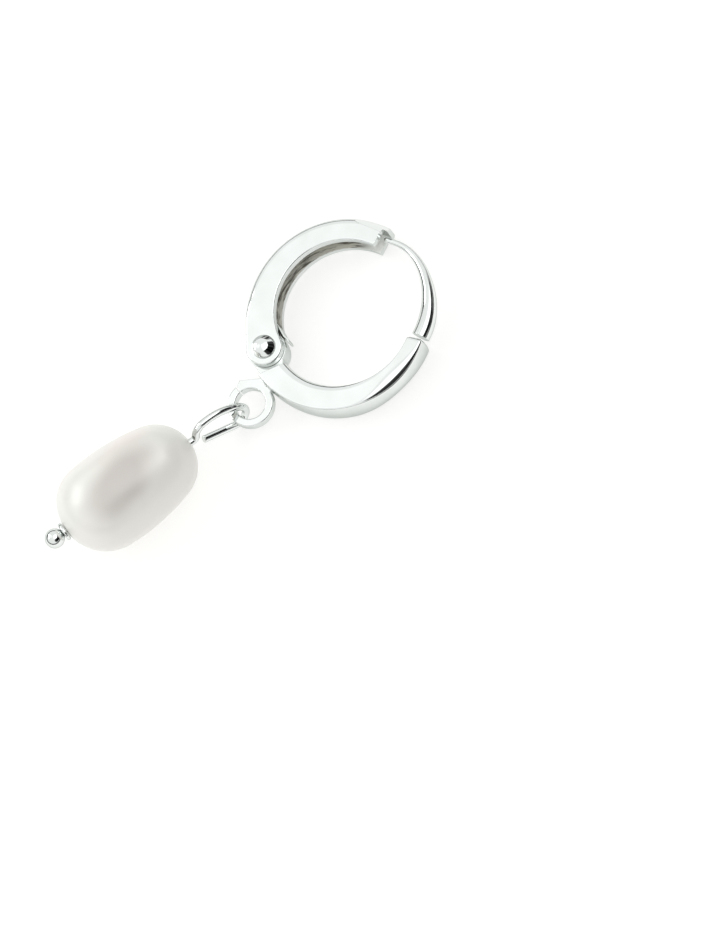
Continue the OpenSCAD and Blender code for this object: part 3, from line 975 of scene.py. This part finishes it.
# %% Spacer
LYING = Matrix.Rotation(radians(90), 4, "Y")
SPACER_HALF = 0.13
spacer = spun("spacer_shown", soft_bar(0.28, 0.64, SPACER_HALF, 0.1), (0, 0), (0, 360), 64)
shade(spacer, 50)
seat(spacer, DROP_SEAT @ Matrix.Translation((SPACER_X + SPACER_HALF, 0, 0)) @ LYING)
hand_over(spacer, plated_wire, "hoop", "plated_metal", "spacer")

# %% [markdown]
# ## Pearl
# The pearl is an oval with two round ends of different size and a long gentle curve between them.
# The outline is spun, then raised and dented a little where the real pearl is uneven, and drilled.

# %% Pearl: outline
PEARL_START, PEARL_L = -5.05, 9.88
BALL_END_R, EYE_END_R, SIDE_R = 3.12, 2.76, 14.8
end_1 = PEARL_START + BALL_END_R
end_2 = PEARL_START + PEARL_L - EYE_END_R
to_1, to_2 = SIDE_R - BALL_END_R, SIDE_R - EYE_END_R
side_x = end_1 + (to_1 ** 2 - to_2 ** 2 + (end_2 - end_1) ** 2) / (2 * (end_2 - end_1))
side_y = sqrt(to_1 ** 2 - (side_x - end_1) ** 2)
turn_1 = degrees(atan2(side_y, end_1 - side_x))
turn_2 = degrees(atan2(side_y, end_2 - side_x))
pearl_line = (arc((end_1, 0), BALL_END_R, 180, turn_1, 3)
              + arc((side_x, -side_y), SIDE_R, turn_1, turn_2, 0.9)[1:]
              + arc((end_2, 0), EYE_END_R, turn_2, 0, 3)[1:])
pearl = spun("pearl_shown", [(max(p.y, 0), p.x) for p in pearl_line], (0, 0), (0, 360), 128)
seat_turn = Matrix.Translation((0, -0.03, 0)) @ Matrix.Rotation(radians(1.2), 4, "Z") @ LYING
pearl.data.transform(seat_turn)
print("pearl:", len(pearl.data.vertices), "corners, blank")

# %% Pearl: uneven places and the drilled hole
# rows of (x, y, z, height, width) in the drop's frame
SWELLS = [
    (-4.1, 1.9, 1.1, 0.16, 1.5),
    (1.4, 0.6, 3.0, -0.05, 1.6),
    (-0.8, -1.8, 2.4, 0.05, 1.5),
]
DRILL_R = 0.37
for vertex in pearl.data.vertices:
    lift = sum(h * exp(-(vertex.co - Vector((x, y, z))).length_squared / w ** 2)
               for x, y, z, h, w in SWELLS)
    vertex.co += vertex.normal * lift
drill = rod("drill", (0, 0), DRILL_R, -9, 9, 48)
drill.data.transform(LYING)
join_by(pearl, drill, "DIFFERENCE")
clean(pearl)
shade(pearl, 50)
seat(pearl, DROP_SEAT)
hand_over(pearl, nacre, "hoop", "nacre", "pearl")

# %% [markdown]
# ## Surface and light
# The earring lies on a sheet of white acrylic that is lit from below, so its shadows stay faint.
# The sheet is a rough dielectric with a fine tooth of 0.4 mm. One soft light and a pale sky light
# the earring. Polished metal only shows what is round it, so the sky has a dark rim and a few dark
# places, which give the metal its dark lines, and two bright ones for the pearl and the top faces.

# %% Sheet of white acrylic
bpy.ops.object.select_all(action="DESELECT")
bpy.ops.mesh.primitive_plane_add(size=1.6, location=(0, 0, -0.00001))
sheet = bpy.context.object
sheet.name = "lit_sheet"
acrylic, place = new_finish("lit_white_acrylic")
grain = add(acrylic, "ShaderNodeTexNoise", Vector=place, Scale=scale_for(0.4), Detail=4,
            Roughness=0.6)
tooth = add(acrylic, "ShaderNodeBump", Height=grain.outputs["Fac"], Strength=0.1,
            Distance=0.01 * MM)
lit = add(acrylic, "ShaderNodeBsdfPrincipled", Base_Color=colour("ACACAA"), Roughness=0.85,
          Emission_Color=colour("FFFFFE"), Emission_Strength=0.66,
          Normal=tooth.outputs["Normal"])
show(acrylic, lit.outputs[0])
sheet.data.materials.append(acrylic)
print("surface:", sheet.name, "in", acrylic.name)

# %% Sky
sky = bpy.data.worlds.new("sky")
sky.use_nodes = True
sky.node_tree.nodes.clear()
toward = add(sky, "ShaderNodeTexCoord").outputs["Generated"]


# rows of (direction, cosine within which it is full, cosine past which it is gone, brightness)
DARK_PLACES = [
    ((0.7, -0.53, 0.48), 0.97, 0.92, 0.03),
    ((0.42, -0.72, 0.55), 0.97, 0.92, 0.03),
    ((0.06, -0.78, 0.62), 0.955, 0.9, 0.03),
    ((0.86, -0.15, 0.49), 0.98, 0.95, 0.05),
    ((-0.52, 0.8, 0.3), 0.975, 0.945, 0.03),
]
BRIGHT_PLACES = [
    ((0.4, -0.32, 0.859), 1.0, 0.8, 2.2),
    ((-0.2, 0.4, 0.894), 0.99, 0.95, 1.25),
]


def sky_part(direction, full, gone, brightness):
    """A round place in the sky that makes it darker or brighter."""
    at = add(sky, "ShaderNodeVectorMath", {"operation": "DOT_PRODUCT"}, i0=toward, i1=direction)
    return add(sky, "ShaderNodeMapRange", {"interpolation_type": "SMOOTHSTEP"},
               i0=at.outputs["Value"], i1=gone, i2=full, i3=1.0, i4=brightness).outputs[0]


height = add(sky, "ShaderNodeSeparateXYZ", i0=toward)
whole = add(sky, "ShaderNodeMapRange", {"interpolation_type": "SMOOTHSTEP"},
            i0=height.outputs["Z"], i1=0.14, i2=0.3, i3=0.05, i4=1.0).outputs[0]
for place_in_sky in DARK_PLACES + BRIGHT_PLACES:
    whole = add(sky, "ShaderNodeMath", {"operation": "MULTIPLY"},
                i0=whole, i1=sky_part(*place_in_sky)).outputs[0]
glow = add(sky, "ShaderNodeBackground", Color=colour("FAFCFB"), Strength=whole)
sky_out = add(sky, "ShaderNodeOutputWorld")
sky.node_tree.links.new(glow.outputs[0], sky_out.inputs["Surface"])
bpy.context.scene.world = sky
print("sky:", len(DARK_PLACES), "dark places and", len(BRIGHT_PLACES), "bright ones")


# %% Soft light
def softbox(name, direction, distance, width, depth, brightness):
    """A rectangular light that faces the earring, as bright in a reflection as asked."""
    light = bpy.data.lights.new(name, "AREA")
    light.shape = "RECTANGLE"
    light.size, light.size_y = width, depth
    light.energy = brightness * pi * width * depth
    box = bpy.data.objects.new(name, light)
    bpy.context.scene.collection.objects.link(box)
    toward_it = Vector(direction).normalized()
    box.location = toward_it * distance
    box.rotation_euler = toward_it.to_track_quat("Z", "Y").to_euler()
    print(name, "stands", round(distance / MM), "mm away")


softbox("light_left", (-0.475, 0.671, 0.574), 0.5, 0.32, 0.19, 2.5)
bpy.context.scene.view_settings.view_transform = "Standard"
